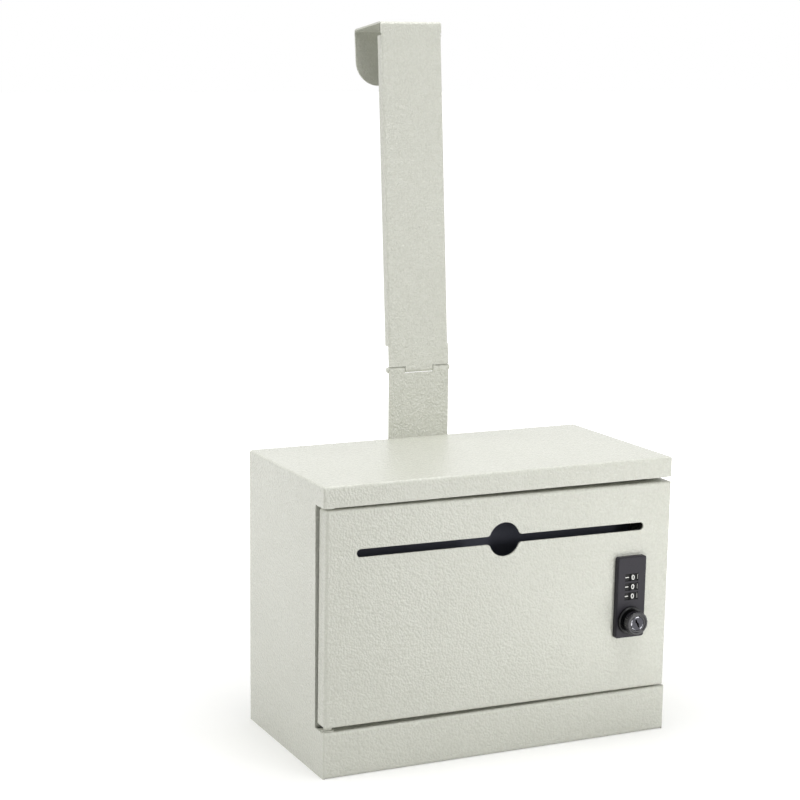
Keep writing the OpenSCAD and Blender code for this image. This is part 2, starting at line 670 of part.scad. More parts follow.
// Lower strap: a plate on the back of the box with the two outer knuckles
module lower_strap() color([0.78, 0.79, 0.74]) difference() {
    union() {
        along_y(back_y, back_y + strap_t)
            plate_2d(-strap_w / 2, strap_w / 2, strap_foot_z, hinge_z, [4, 4, 0, 0]);
        translate([0, hinge_y, hinge_z]) for (side = [-1, 1])
            knuckle(side < 0 ? -strap_w / 2 : middle_knuckle / 2 + knuckle_gap,
                    side < 0 ? -middle_knuckle / 2 - knuckle_gap : strap_w / 2);
    }
    // Notch for the middle knuckle, which turns through it
    block(-middle_knuckle / 2 - knuckle_gap, middle_knuckle / 2 + knuckle_gap, back_y - cut,
          hinge_y + 2 * knuckle_r, hinge_z - plate_clear, hinge_z + knuckle_r + cut);
    translate([-strap_w, hinge_y, hinge_z]) rotate([0, 90, 0])
        cylinder(h = 2 * strap_w, r = hinge_pin_r);
    for (x = [-1, 1], z = [-1, 1])
        rod_y(x * screw_dx / 2, screws_z + z * screw_dz / 2, back_y - cut, back_y + strap_t + cut,
              screw_r + 2 * fixed_gap);
}

// Upper strap, about the hinge axis: its front face lies knuckle_r before the axis.
// Cross-section of the stiffened length, seen from above
module channel_2d() {
    y0 = -knuckle_r;
    x1 = strap_w / 2;
    r = strap_t + 0.5;
    difference() {
        plate_2d(-x1, x1, y0, y0 + strap_flange, [r, r, 0, 0]);
        plate_2d(-x1 + strap_t, x1 - strap_t, y0 + strap_t, y0 + strap_flange + cut,
                 [r - strap_t, r - strap_t, 0, 0]);
    }
}

// Points along an arc
function arc_points(c, r, from_a, to_a) = [for (i = [0 : 8])
    let (a = from_a + (to_a - from_a) * i / 8) c + r * [cos(a), sin(a)]];

// Side view of the blade's top end and the hook: up, round, back with a dip, and down
module hook_side_2d(from_z) {
    y0 = -knuckle_r;
    top_a = 90 - hook_dip;
    back = [cos(hook_dip), -sin(hook_dip)];
    down = (hook_lip - hook_out_r) * [-sin(hook_dip), -cos(hook_dip)];
    front_c = [y0 + hook_out_r, strap_len - hook_out_r];
    back_c = front_c + (hook_gap - 2 * hook_in_r) * back;
    polygon(concat([[y0, from_z]], arc_points(front_c, hook_out_r, 180, top_a),
                   arc_points(back_c, hook_out_r, top_a, -hook_dip),
                   [back_c + hook_out_r * back + down, back_c + hook_in_r * back + down],
                   arc_points(back_c, hook_in_r, -hook_dip, top_a),
                   arc_points(front_c, hook_in_r, top_a, 180), [[y0 + strap_t, from_z]]));
}

// What rounds the two lower corners of the hook's return lip
module hook_lip_corners() translate([0, -knuckle_r, strap_len]) rotate([-hook_dip, 0, 0])
    along_y(hook_gap / 2, hook_gap + 4 * strap_t) for (side = [-1, 1])
        sharp_corner(side * strap_w / 2, -hook_lip, -side, 1, hook_lip_r);

module upper_strap() color([0.8, 0.81, 0.77]) on_strap() difference() {
    x1 = strap_w / 2;
    y0 = -knuckle_r;
    mid_x = middle_knuckle / 2 - knuckle_gap;
    union() {
        // Flat blade below the stiffened length, and its tongue to the knuckle
        along_y(y0, y0 + strap_t) {
            plate_2d(-x1, x1, plate_clear, flange_from);
            plate_2d(-mid_x, mid_x, 0, plate_clear + cut);
        }
        knuckle(-mid_x, mid_x);
        along_z(flange_from, flange_to) channel_2d();
        // The hook's blade starts inside the stiffened length
        along_x(-x1, x1) hook_side_2d(flange_to - cut);
    }
    hook_lip_corners();
    translate([-strap_w, 0, 0]) rotate([0, 90, 0])
        cylinder(h = 2 * strap_w, r = hinge_pin_r + run_fit);
    // Reliefs where the flanges stop below the hook
    for (side = [-1, 1])
        translate([side * x1, 0, flange_to + 0.8]) rotate([90, 0, 0])
            cylinder(h = 4 * knuckle_r, r = 0.9, center = true);
}

module hinge_pin() color([0.74, 0.75, 0.72]) translate([0, hinge_y, hinge_z]) {
    head = 1.2;
    translate([-strap_w / 2 - head, 0, 0]) rotate([0, 90, 0])
        cylinder(h = strap_w + 2 * head, r = hinge_pin_r);
    for (x = [-strap_w / 2 - head, strap_w / 2])
        translate([x, 0, 0]) rotate([0, 90, 0]) cylinder(h = head, r = knuckle_r - 0.5);
}

// Strap screws with low heads behind the strap, and their nuts inside the cabinet
module strap_screws() color([0.6, 0.61, 0.62]) for (x = [-1, 1], z = [-1, 1])
    translate([x * screw_dx / 2, back_y + strap_t, screws_z + z * screw_dz / 2])
        rotate([-90, 0, 0]) pan_screw(4.8, 1.9, screw_r, strap_t + sheet_t + strap_nut_h + 2);

module strap_nuts() color([0.6, 0.61, 0.62]) for (x = [-1, 1], z = [-1, 1])
    translate([x * screw_dx / 2, back_y - sheet_t, screws_z + z * screw_dz / 2])
        rotate([90, 0, 0]) hex_nut(screw_r * 1.85, strap_nut_h, screw_r);

cabinet_shell();
base_pan();
back_panel();
door_panel();
pivot_pins();
pivot_bushes();
slot_baffle();
baffle_rivets();
lock_face_plate();
index_ticks();
lock_housing();
dial_wheel_top();
dial_wheel_middle();
dial_wheel_bottom();
dial_rod();
detent_spring();
knob_collar();
knob();
key_core();
lock_spindle();
lock_cam();
cam_screw();
barrel_nut();
lock_screw();
lower_strap();
upper_strap();
hinge_pin();
strap_screws();
strap_nuts();
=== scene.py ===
"""Looks for a key drop box: coat, platings, lock finishes, dial numbers, threads and a stage."""

import json
import math

import bmesh
import bpy
from bpy.props import FloatProperty, FloatVectorProperty, IntProperty, PointerProperty
from mathutils import Matrix, Vector

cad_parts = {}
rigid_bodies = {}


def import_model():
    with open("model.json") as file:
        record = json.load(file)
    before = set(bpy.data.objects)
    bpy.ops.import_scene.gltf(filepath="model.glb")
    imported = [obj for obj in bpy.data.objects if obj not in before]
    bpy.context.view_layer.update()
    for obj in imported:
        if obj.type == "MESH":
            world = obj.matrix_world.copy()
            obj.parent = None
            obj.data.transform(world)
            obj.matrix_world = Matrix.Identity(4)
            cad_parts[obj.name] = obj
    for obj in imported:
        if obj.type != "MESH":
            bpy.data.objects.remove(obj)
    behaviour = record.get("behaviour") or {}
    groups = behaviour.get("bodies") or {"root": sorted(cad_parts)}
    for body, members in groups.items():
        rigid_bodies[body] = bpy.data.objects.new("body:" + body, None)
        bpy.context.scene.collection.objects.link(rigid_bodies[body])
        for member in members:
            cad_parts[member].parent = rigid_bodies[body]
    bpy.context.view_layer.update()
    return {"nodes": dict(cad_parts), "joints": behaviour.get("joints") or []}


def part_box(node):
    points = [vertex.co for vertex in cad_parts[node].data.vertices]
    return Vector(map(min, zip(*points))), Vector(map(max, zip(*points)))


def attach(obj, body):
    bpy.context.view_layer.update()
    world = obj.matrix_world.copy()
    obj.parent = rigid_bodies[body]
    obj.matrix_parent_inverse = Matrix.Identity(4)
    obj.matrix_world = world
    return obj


bl_info = {
    "name": "Key Drop Box Looks",
    "version": (1, 0, 0),
    "blender": (4, 5, 0),
    "location": "View3D > Sidebar > Drop Box",
    "description": "Finishes, dial numbers, threads and a stage for the key drop box",
    "category": "Object",
}

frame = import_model()
MM = 0.001

COATED = ("cabinet_shell", "base_pan", "back_panel", "door_panel", "pivot_pins",
          "lower_strap", "upper_strap", "hinge_pin")
PLATED = ("baffle_rivets", "dial_rod", "lock_spindle", "lock_cam", "cam_screw", "barrel_nut",
          "lock_screw", "strap_screws", "strap_nuts")
WHEELS = {"top": "dial_wheel_top", "middle": "dial_wheel_middle", "bottom": "dial_wheel_bottom"}

# The wheels' radius and width set how large the numbers are
WHEEL_LOW, WHEEL_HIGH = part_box("dial_wheel_middle")
WHEEL_RADIUS = (WHEEL_HIGH.y - WHEEL_LOW.y) / 2
WHEEL_WIDTH = WHEEL_HIGH.z - WHEEL_LOW.z
# A number is cut into upright strips that bend with its wheel, and reaches down into it
NUMBER_STRIP = 0.3 * MM
NUMBER_ROOT = 0.1 * MM

# Vertices this close to a plane lie in it
IN_PLANE = 0.1 * MM
BARREL_TURN_STEPS = 40
SCREW_TURN_STEPS = 20

# Each lamp's name, place, aim, width, height and watts
LAMPS = (
    ("overhead_softbox", (0.1, -0.12, 2.1), (0, 0, 0.2), 1.6, 1.6, 37),
    ("front_strip_lamp", (0.7, -1.5, 0.34), (0, -0.05, 0.08), 0.3, 0.6, 6.6),
    ("left_softbox", (-2.0, 0.4, 0.8), (0, 0, 0.2), 1.2, 1.2, 14.5),
)
# Lies on the floor, unseen by the camera. The door mirrors it from its middle on
LIGHT_PAD = ("floor_light_pad", (0.31, -0.48, 0.004), (0.31, -0.48, 1), 0.2, 0.66, 0.72)
LIGHT_PAD_TURN = math.radians(28.8)

# The floor's own glow grows from near the box to full white further out
FADE_START, FADE_END = 0.25, 0.9
GLOW_NEAR, GLOW_FAR = 0.27, 1.0


def hex_colour(code):
    """Turns an sRGB hex code into the linear colour that a shader takes."""
    parts = [int(code[i:i + 2], 16) / 255 for i in (1, 3, 5)]
    linear = [c / 12.92 if c <= 0.04045 else ((c + 0.055) / 1.055) ** 2.4 for c in parts]
    return (*linear, 1.0)


def colour_prop(name, description, code):
    """A colour that the sidebar shows, set from a hex code."""
    return FloatVectorProperty(name=name, description=description, subtype="COLOR", size=4,
                               min=0, max=1, default=hex_colour(code))


def length_prop(name, description, length):
    """A length that the sidebar shows, given in metres."""
    return FloatProperty(name=name, description=description, subtype="DISTANCE",
                         unit="LENGTH", precision=5, min=0, default=length)


def angle_prop(name, description, degrees):
    """An angle that the sidebar shows, given in degrees."""
    return FloatProperty(name=name, description=description, subtype="ANGLE",
                         unit="ROTATION", default=math.radians(degrees))


def centre_of(node):
    """Middle of a CAD node's box."""
    low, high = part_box(node)
    return (low + high) / 2


def joint_axis(name):
    """Direction of a joint's axis in the record."""
    return next(Vector(joint["axis"]) for joint in frame["joints"] if joint["name"] == name)


class DropBoxCoat(bpy.types.PropertyGroup):
    """The powder coat on the sheet steel, and the primer on the baffle"""

    dimple_colour: colour_prop("Dimple colour", "Pale warm grey in the small dimples", "#DCDDD3")
    ridge_colour: colour_prop("Ridge colour", "The same grey, darker, on the ridges", "#D0D1C6")
    wrinkle: length_prop("Wrinkle spacing", "From one dimple of the coat to the next", 1.8 * MM)
    depth: length_prop("Wrinkle depth", "Height of the ridges over the dimples", 0.6 * MM)
    roughness: FloatProperty(name="Roughness", description="How satin the coat is",
                             subtype="FACTOR", min=0, max=1, default=0.24)
    primer_colour: colour_prop("Primer colour", "Blue-black primer on the baffle", "#4A4C57")


class DropBoxLock(bpy.types.PropertyGroup):
    """The combination lock's finishes and numbers"""

    plate_colour: colour_prop("Plate colour", "Satin black paint on the die-cast plate", "#29272D")
    # Painted shade: near black on the faces sunk inside the dial windows, for the shade there
    window_colour: colour_prop("Window colour", "Matt black inside the dial windows", "#060607")
    knob_colour: colour_prop("Knob colour", "Black of the moulded knob", "#1F1E22")
    dial_colour: colour_prop("Dial colour", "Black of the moulded wheels", "#0D0D0F")
    core_colour: colour_prop("Core colour", "Dark chrome of the key core", "#37373B")
    # Painted highlight: a pale colour on the key core's rim that stands in for glints of light
    rim_colour: colour_prop("Rim colour", "Chrome worn bright at the core's rim", "#B4B4BA")
    number_colour: colour_prop("Number colour", "White paint in numbers and ticks", "#F4F4F0")
    number_height: length_prop("Number height", "Height of a number", WHEEL_WIDTH * 0.68)
    number_weight: FloatProperty(name="Number weight", description="How much bolder than plain",
                                 min=0, max=0.1, default=0.014)
    number_relief: length_prop("Number relief", "How far a number stands off its wheel", 0.08 * MM)
    number_count: IntProperty(name="Numbers", description="Numbers round a wheel",
                              min=2, max=10, default=10)
    first_turn: angle_prop("First number", "Turn of the 0 from the front", -7)


class DropBoxHardware(bpy.types.PropertyGroup):
    """Plated and threaded pieces"""

    zinc_colour: colour_prop("Zinc colour", "Bright zinc plating", "#BFC3C6")
    spring_colour: colour_prop("Spring colour", "Bright rolled spring steel", "#C9CACB")
    nylon_colour: colour_prop("Nylon colour", "Pale moulded bushes", "#CDCEC4")
    barrel_pitch: length_prop("Barrel pitch", "Thread pitch of the lock barrel", 1.0 * MM)
    screw_pitch: length_prop("Screw pitch", "Thread pitch of the strap screws", 0.8 * MM)
    ridge: length_prop("Thread ridge", "How far a thread stands off its core", 0.16 * MM)


class DropBoxStage(bpy.types.PropertyGroup):
    """Floor, lamps and camera"""

    floor_colour: colour_prop("Floor colour", "Pale floor under the box", "#E3E3E1")
    floor_size: FloatProperty(name="Floor size", description="Half the floor's width",
                              subtype="DISTANCE", unit="LENGTH", min=1, default=30)
    ambient: FloatProperty(name="Ambient", description="Plain light from all round",
                           min=0, default=0.25)
    camera_place: FloatVectorProperty(name="Camera place", description="Where the camera stands",
                                      subtype="TRANSLATION", unit="LENGTH", size=3, precision=5,
                                      default=(-0.71022, -1.36905, 0.53995))
    camera_turn: angle_prop("Camera turn", "Turn about the upright axis", -23.31)
    camera_tilt: angle_prop("Camera tilt", "Downward tilt", 10.986)
    camera_roll: angle_prop("Camera roll", "Roll about the line of sight", 0.206)
    lens: FloatProperty(name="Lens", description="Focal length on a 36 mm sensor",
                        subtype="DISTANCE_CAMERA", min=20, default=87.38)
    shift: FloatVectorProperty(name="Shift", description="Lens shift for the framing",
                               size=2, default=(0.096, 0.0472))


def put(tree, kind, inputs=None, **settings):
    """Adds a node with its settings; each input takes a value or another node's socket."""
    node = tree.nodes.new(kind)
    for name, value in settings.items():
        setattr(node, name, value)
    for key, value in (inputs or {}).items():
        if isinstance(value, bpy.types.NodeSocket):
            tree.links.new(value, node.inputs[key])
        else:
            node.inputs[key].default_value = value
    return node


def place_on(tree):
    """Position on a piece, in metres."""
    return put(tree, "ShaderNodeTexCoord").outputs["Object"]


def noise(tree, place, spacing, detail=2.0):
    """Noise with grains about this many metres apart; gives its grey and its colour."""
    return put(tree, "ShaderNodeTexNoise",
               {"Vector": place, "Scale": 1 / spacing, "Detail": detail}).outputs


def reckon(tree, operation, *values):
    """Result of a Math node."""
    return put(tree, "ShaderNodeMath", dict(enumerate(values)), operation=operation).outputs[0]


def vector_maths(tree, operation, *values):
    """Results of a Vector Math node."""
    return put(tree, "ShaderNodeVectorMath", dict(enumerate(values)),
               operation=operation).outputs


def ramp(tree, value, start=0.0, end=1.0, low=0.0, high=1.0):
    """Carries a value from one range to another and holds it at both ends."""
    return put(tree, "ShaderNodeMapRange",
               {"Value": value, "From Min": start, "From Max": end,
                "To Min": low, "To Max": high}).outputs[0]


def blend(tree, factor, first, second):
    """Mixes two colours."""
    return put(tree, "ShaderNodeMix", {"Factor": factor, "A": first, "B": second},
               data_type="RGBA").outputs[2]


def relief(tree, height, depth):
    """Normal of a surface whose height varies by the depth."""
    return put(tree, "ShaderNodeBump", {"Height": height, "Distance": depth}).outputs[0]


def tinted(colour, factor):
    """A colour made lighter or darker by a factor."""
    return [min(c * factor, 1) for c in colour[:3]] + [1]


def seen_rays(tree):
    """1 for rays from the camera, a mirror or glass, and 0 for rays that gather light."""
    rays = put(tree, "ShaderNodeLightPath").outputs
    seen = reckon(tree, "MAXIMUM", rays["Is Camera Ray"], rays["Is Glossy Ray"])
    return reckon(tree, "MAXIMUM", seen, rays["Is Transmission Ray"])


def new_finish(name, roughness, colour=None, metallic=0.0):
    """Starts a material; what is the same all over is set on the shader itself."""
    finish = bpy.data.materials.new(name)
    finish.use_nodes = True
    shader = finish.node_tree.nodes["Principled BSDF"]
    shader.inputs["Roughness"].default_value = roughness
    shader.inputs["Metallic"].default_value = metallic
    if colour is not None:
        shader.inputs["Base Color"].default_value = colour
        finish.diffuse_color = colour
    return finish, finish.node_tree, shader


def wire(tree, shader, colour=None, roughness=None, normal=None):
    """Feeds a shader; what is left out keeps the shader's own value."""
    for label, socket in (("Base Color", colour), ("Roughness", roughness), ("Normal", normal)):
        if socket is not None:
            tree.links.new(socket, shader.inputs[label])


def give(finish, *names):
    """Puts a finish on CAD nodes."""
    for name in names:
        slots = frame["nodes"][name].data.materials
        for i in range(max(len(slots), 1)):
            if i < len(slots):
                slots[i] = finish
            else:
                slots.append(finish)


def wrinkle_powder_coat(coat):
    # Polyester powder, baked so that it wrinkles. The eye sees a satin pale grey
    # with a fine wandering grain, strongest where a lamp glances along it
    finish, tree, shader = new_finish("wrinkle_powder_coat", coat.roughness)
    place = place_on(tree)
    # The coat draws up into a net of small ridges round shallow dimples. The net wanders
    wander = noise(tree, place, spacing=coat.wrinkle / 0.7)[1]
    pushed = vector_maths(tree, "MULTIPLY_ADD", wander, (coat.wrinkle,) * 3, place)[0]
    net = put(tree, "ShaderNodeTexVoronoi", {"Vector": pushed, "Scale": 1 / coat.wrinkle},
              feature="F1").outputs["Distance"]
    swells = noise(tree, place, spacing=coat.wrinkle / 0.45, detail=1.0)[0]
    swell_share, cloud_share, clouds_per_metre = 0.35, 0.3, 14
    height = put(tree, "ShaderNodeMix", {"Factor": swell_share, "A": net, "B": swells},
                 data_type="FLOAT").outputs[0]
    # Coat that has run thinner here and there, over a hand's width
    cloud = noise(tree, place, spacing=1 / clouds_per_metre, detail=1.0)[0]
    mixed = reckon(tree, "MULTIPLY_ADD", cloud, cloud_share, height)
    tone = ramp(tree, mixed, start=0.85, end=0.2)
    wire(tree, shader, colour=blend(tree, tone, coat.ridge_colour, coat.dimple_colour),
         normal=relief(tree, height, coat.depth))
    return finish


def matt_primer(coat):
    # Sprayed primer on the baffle. The eye sees a dull blue-black with a dry, dusty grain
    finish, tree, shader = new_finish("sprayed_matt_primer", roughness=0.8)
    dust = noise(tree, place_on(tree), spacing=0.9 * MM, detail=3.0)[0]
    dusty = blend(tree, dust, coat.primer_colour, tinted(coat.primer_colour, 1.5))
    wire(tree, shader, colour=dusty, normal=relief(tree, dust, 0.02 * MM))
    return finish


def painted_die_cast(lock):
    # Satin black paint over die-cast zinc. The eye sees a soft, slightly violet sheen
    # with a faint orange peel. The faces sunk inside the dial windows get painted shade: near
    # black
    finish, tree, shader = new_finish("satin_painted_die_cast", roughness=0.44)
    shader.inputs["Specular IOR Level"].default_value = 0.22
    place = place_on(tree)
    peel = noise(tree, place, spacing=1.6 * MM, detail=1.5)[0]
    painted = blend(tree, peel, lock.plate_colour, tinted(lock.plate_colour, 1.35))
    # The windows are sunk behind the plate's front, inside a box round the ticks and wheels. Faces
    # there get painted shade
    low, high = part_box("index_ticks")
    wheels_low, wheels_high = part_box("dial_wheel_bottom")[0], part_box("dial_wheel_top")[1]
    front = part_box("lock_face_plate")[0].y
    tick_margin, wheel_margin, least_sink, most_sink = 0.9 * MM, 1 * MM, 0.2 * MM, 20 * MM
    edges = {"X": (low.x - tick_margin, wheels_high.x),
             "Y": (front + least_sink, front + most_sink),
             "Z": (wheels_low.z - wheel_margin, wheels_high.z + wheel_margin)}
    parts = put(tree, "ShaderNodeSeparateXYZ", {0: place}).outputs
    window_shade_mask = 1.0
    for axis, (least, most) in edges.items():
        above = reckon(tree, "GREATER_THAN", parts[axis], least)
        below = reckon(tree, "LESS_THAN", parts[axis], most)
        window_shade_mask = reckon(tree, "MULTIPLY", reckon(tree, "MULTIPLY", above, below), window_shade_mask)
    # Painted shade: the faces inside the windows take the near-black colour
    wire(tree, shader, colour=blend(tree, window_shade_mask, painted, lock.window_colour),
         normal=relief(tree, peel, 0.03 * MM))
    return finish


def moulded_plastic(name, colour, roughness, grain, depth, shine=0.5):
    # Injection-moulded plastic. The eye sees a tool's fine grain that breaks the gloss,
    # and a gloss that changes a little from place to place
    finish, tree, shader = new_finish(name, roughness, colour)
    shader.inputs["Specular IOR Level"].default_value = shine
    place = place_on(tree)
    tool = noise(tree, place, spacing=grain)[0]
    handled = noise(tree, place, spacing=9 * MM)[0]
    wire(tree, shader, roughness=ramp(tree, handled, low=roughness * 0.8, high=roughness * 1.3),
         normal=relief(tree, tool, depth))
    return finish


def zinc_plating(hardware):
    # Electroplated zinc, blue passivated. The eye sees cool bright metal in patches,
    # some clear and some hazed
    finish, tree, shader = new_finish("bright_zinc_plating", roughness=0.3, metallic=1.0)
    patches = noise(tree, place_on(tree), spacing=4 * MM, detail=4.0)[0]
    hazed = blend(tree, patches, tinted(hardware.zinc_colour, 0.78), hardware.zinc_colour)
    wire(tree, shader, colour=hazed, roughness=ramp(tree, patches, low=0.24, high=0.42))
    return finish


def rolled_spring_steel(hardware):
    # Cold-rolled strip. The eye sees bright steel with straight rolling lines along it
    finish, tree, shader = new_finish("rolled_spring_steel", roughness=0.24,
                                      colour=hardware.spring_colour, metallic=1.0)
    stretched = put(tree, "ShaderNodeMapping",
                    {"Vector": place_on(tree), "Scale": (1, 1, 0.04)}).outputs[0]
    lines = noise(tree, stretched, spacing=0.15 * MM)[0]
    wire(tree, shader, roughness=ramp(tree, lines, low=0.18, high=0.34))
    return finish


def turned_dark_chrome(lock):
    # Dark chrome over a turned face. The eye sees near-black metal with the tool's fine
    # rings, and painted highlights: a pale colour in patches round the rim stands in for glints
    finish, tree, shader = new_finish("turned_dark_chrome", roughness=0.2, metallic=1.0)
    middle = centre_of("key_core")
    radius = (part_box("key_core")[1].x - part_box("key_core")[0].x) / 2
    place = place_on(tree)
    centred = put(tree, "ShaderNodeMapping", {"Vector": place, "Location": -middle}).outputs[0]
    flat = vector_maths(tree, "MULTIPLY", centred, (1, 0, 1))[0]
    out = vector_maths(tree, "LENGTH", flat)["Value"]
    rim = ramp(tree, out, start=radius * 0.74, end=radius * 0.92)
    # The painted glints come and go every few millimetres round the rim
    glint_patches = ramp(tree, noise(tree, place, spacing=2.6 * MM)[0], start=0.5, end=0.58)
    glinting = reckon(tree, "MULTIPLY", rim, glint_patches)
    # The wave node draws 20 rings for each unit of its scale
    ring_spacing, rings_per_unit = 0.35 * MM, 20
    rings = put(tree, "ShaderNodeTexWave",
                {"Vector": flat, "Scale": 1 / ring_spacing / rings_per_unit, "Distortion": 0.3},
                wave_type="RINGS", rings_direction="SPHERICAL").outputs[1]
    # Painted highlight: the rim's patches take the pale glint colour
    wire(tree, shader, colour=blend(tree, glinting, lock.core_colour, lock.rim_colour),
         normal=relief(tree, rings, 0.01 * MM))
    return finish


def paint_fill(lock):
    # Enamel wiped into sunk marks and printed on raised numbers. The eye sees flat white
    # that has worn a touch thin in spots
    finish, tree, shader = new_finish("white_enamel_fill", roughness=0.45)
    spots = noise(tree, place_on(tree), spacing=0.7 * MM)[0]
    thin = ramp(tree, spots, start=0.55, end=0.8, high=0.5)
    wire(tree, shader,
         colour=blend(tree, thin, lock.number_colour, tinted(lock.number_colour, 0.7)))
    return finish


def new_tree(name, inputs):
    """Starts a Geometry Nodes tree with named inputs and one geometry output."""
    tree = bpy.data.node_groups.new(name, "GeometryNodeTree")
    tree.interface.new_socket("Geometry", in_out="INPUT", socket_type="NodeSocketGeometry")
    for label, kind in inputs.items():
        tree.interface.new_socket(label, in_out="INPUT", socket_type="NodeSocket" + kind)
    tree.interface.new_socket("Geometry", in_out="OUTPUT", socket_type="NodeSocketGeometry")
    return tree, put(tree, "NodeGroupInput").outputs


def close_tree(tree, finish, placing):
    """Places shapes on points, gives them a finish and makes them a tree's output."""
    placed = put(tree, "GeometryNodeInstanceOnPoints", placing)
    real = put(tree, "GeometryNodeRealizeInstances", {0: placed.outputs[0]})
    finished = put(tree, "GeometryNodeSetMaterial",
                   {"Geometry": real.outputs[0], "Material": finish})
    put(tree, "NodeGroupOutput", {"Geometry": finished.outputs[0]})
    return tree


def number_ring_tree():
    """Sets one number after another round a wheel's upright axis."""
    tree, given = new_tree("number_ring", {"Numbers": "Collection", "Count": "Int",
                                           "Start": "Float", "Step": "Float",
                                           "Paint": "Material"})
    points = put(tree, "GeometryNodePoints", {"Count": given["Count"]})
    index = put(tree, "GeometryNodeInputIndex").outputs[0]
    angle = reckon(tree, "MULTIPLY_ADD", index, given["Step"], given["Start"])
    euler = put(tree, "ShaderNodeCombineXYZ", {"Z": angle})
    turn = put(tree, "FunctionNodeEulerToRotation", {0: euler.outputs[0]})
    shapes = put(tree, "GeometryNodeCollectionInfo",
                 {"Collection": given["Numbers"], "Separate Children": True,
                  "Reset Children": True})
    return close_tree(tree, given["Paint"],
                      {"Points": points.outputs[0], "Instance": shapes.outputs[0],
                       "Pick Instance": True, "Instance Index": index,
                       "Rotation": turn.outputs[0]})


def thread_tree():
    """Winds a thread ridge of the given length along +Y from each point."""
    tree, given = new_tree("thread_turns", {"Radius": "Float", "Length": "Float",
                                            "Pitch": "Float", "Ridge": "Float",
                                            "Steps": "Int", "Finish": "Material"})
    coil = put(tree, "GeometryNodeCurveSpiral",
               {"Resolution": given["Steps"],
                "Rotations": reckon(tree, "DIVIDE", given["Length"], given["Pitch"]),
                "Start Radius": given["Radius"], "End Radius": given["Radius"],
                "Height": given["Length"]})
    section = put(tree, "GeometryNodeCurvePrimitiveCircle",
                  {"Resolution": 4, "Radius": given["Ridge"]})
    ridge = put(tree, "GeometryNodeCurveToMesh",
                {"Curve": coil.outputs[0], "Profile Curve": section.outputs[0],
                 "Fill Caps": True})
    along = put(tree, "FunctionNodeEulerToRotation", {0: (-math.pi / 2, 0, 0)})
    return close_tree(tree, given["Finish"],
                      {"Points": given["Geometry"], "Instance": ridge.outputs[0],
                       "Rotation": along.outputs[0]})


def grow(name, tree, values, points=((0, 0, 0),), place=None):
    """Runs a tree on some points and keeps the result as one plain mesh at the origin."""
    seed = bpy.data.meshes.new(name)
    seed.from_pydata([tuple(p) for p in points], [], [])
    piece = bpy.data.objects.new(name, seed)
    bpy.context.scene.collection.objects.link(piece)
    modifier = piece.modifiers.new(name, "NODES")
    modifier.node_group = tree
    for item in tree.interface.items_tree:
        if item.item_type == "SOCKET" and item.in_out == "INPUT" and item.name in values:
            modifier[item.identifier] = values[item.name]
    graph = bpy.context.evaluated_depsgraph_get()
    grown = bpy.data.meshes.new_from_object(piece.evaluated_get(graph))
    if not grown.polygons:
        raise RuntimeError(f"{name} came out empty")
    piece.modifiers.clear()
    piece.data = grown
    if place is not None:
        grown.transform(place)
    grown.name = name
    return piece


def number_mesh(digit, lock, radius):
    """One bold number as a closed solid, bent round a wheel that turns about +Z."""
    label = f"number_{digit}"
    letter = bpy.data.curves.new(label, "FONT")
    letter.body = str(digit)
    letter.align_x = "CENTER"
    letter.resolution_u = 3
    letter.offset = lock.number_weight
    # Any thickness does: its two sides are set to the wheel further down
    letter.extrude = 0.1
    drawn = bpy.data.objects.new(label, letter)
    bpy.context.scene.collection.objects.link(drawn)
    graph = bpy.context.evaluated_depsgraph_get()
    mesh = bpy.data.meshes.new_from_object(drawn.evaluated_get(graph))
    bpy.data.objects.remove(drawn)
    form = bmesh.new()
    form.from_mesh(mesh)
    bmesh.ops.remove_doubles(form, verts=form.verts, dist=1e-4)
    low = min(v.co.y for v in form.verts)
    high = max(v.co.y for v in form.verts)
    scale = lock.number_height / (high - low)
    strip = NUMBER_STRIP / scale
    reach = max(abs(v.co.x) for v in form.verts)
    for k in range(-int(reach / strip), int(reach / strip) + 1):
        bmesh.ops.bisect_plane(form, geom=form.verts[:] + form.edges[:] + form.faces[:],
                               plane_co=(k * strip, 0, 0), plane_no=(1, 0, 0))
    for v in form.verts:
        angle = v.co.x * scale / radius
        out = radius + (lock.number_relief if v.co.z > 0 else -NUMBER_ROOT)
        up = (v.co.y - (low + high) / 2) * scale
        v.co = (out * math.sin(angle), -out * math.cos(angle), up)
    bmesh.ops.recalc_face_normals(form, faces=form.faces)
    form.to_mesh(mesh)
    form.free()
    return bpy.data.objects.new(label, mesh)


def screw_ends():
    """The end of each strap screw's shank, inside the cabinet."""
    points = [v.co.copy() for v in frame["nodes"]["strap_screws"].data.vertices]
    middle = centre_of("strap_screws")
    ends = []
    for side in (-1, 1):
        for level in (-1, 1):
            own = [p for p in points
                   if (p.x - middle.x) * side > 0 and (p.z - middle.z) * level > 0]
            xs, ys, zs = zip(*own)
            ends.append(((min(xs) + max(xs)) / 2, min(ys), (min(zs) + max(zs)) / 2))
    return ends


def end_radius(node, centre, pick):
    """Smallest or largest ring round a centre, in the end face of a node that lies along Y."""
    x, y, z = centre
    return pick(math.hypot(v.co.x - x, v.co.z - z) for v in frame["nodes"][node].data.vertices
                if abs(v.co.y - y) < IN_PLANE)


class DROPBOX_OT_coat_steel(bpy.types.Operator):
    """Coats the folded sheet, the straps, the hinge pin and the pivot pins"""

    bl_idname = "dropbox.coat_steel"
    bl_label = "Coat Sheet Steel"

    def execute(self, context):
        give(wrinkle_powder_coat(context.scene.drop_box_coat), *COATED)
        return {"FINISHED"}


class DROPBOX_OT_prime_baffle(bpy.types.Operator):
    """Primes the baffle behind the slot"""

    bl_idname = "dropbox.prime_baffle"
    bl_label = "Prime Baffle"

    def execute(self, context):
        give(matt_primer(context.scene.drop_box_coat), "slot_baffle")
        return {"FINISHED"}


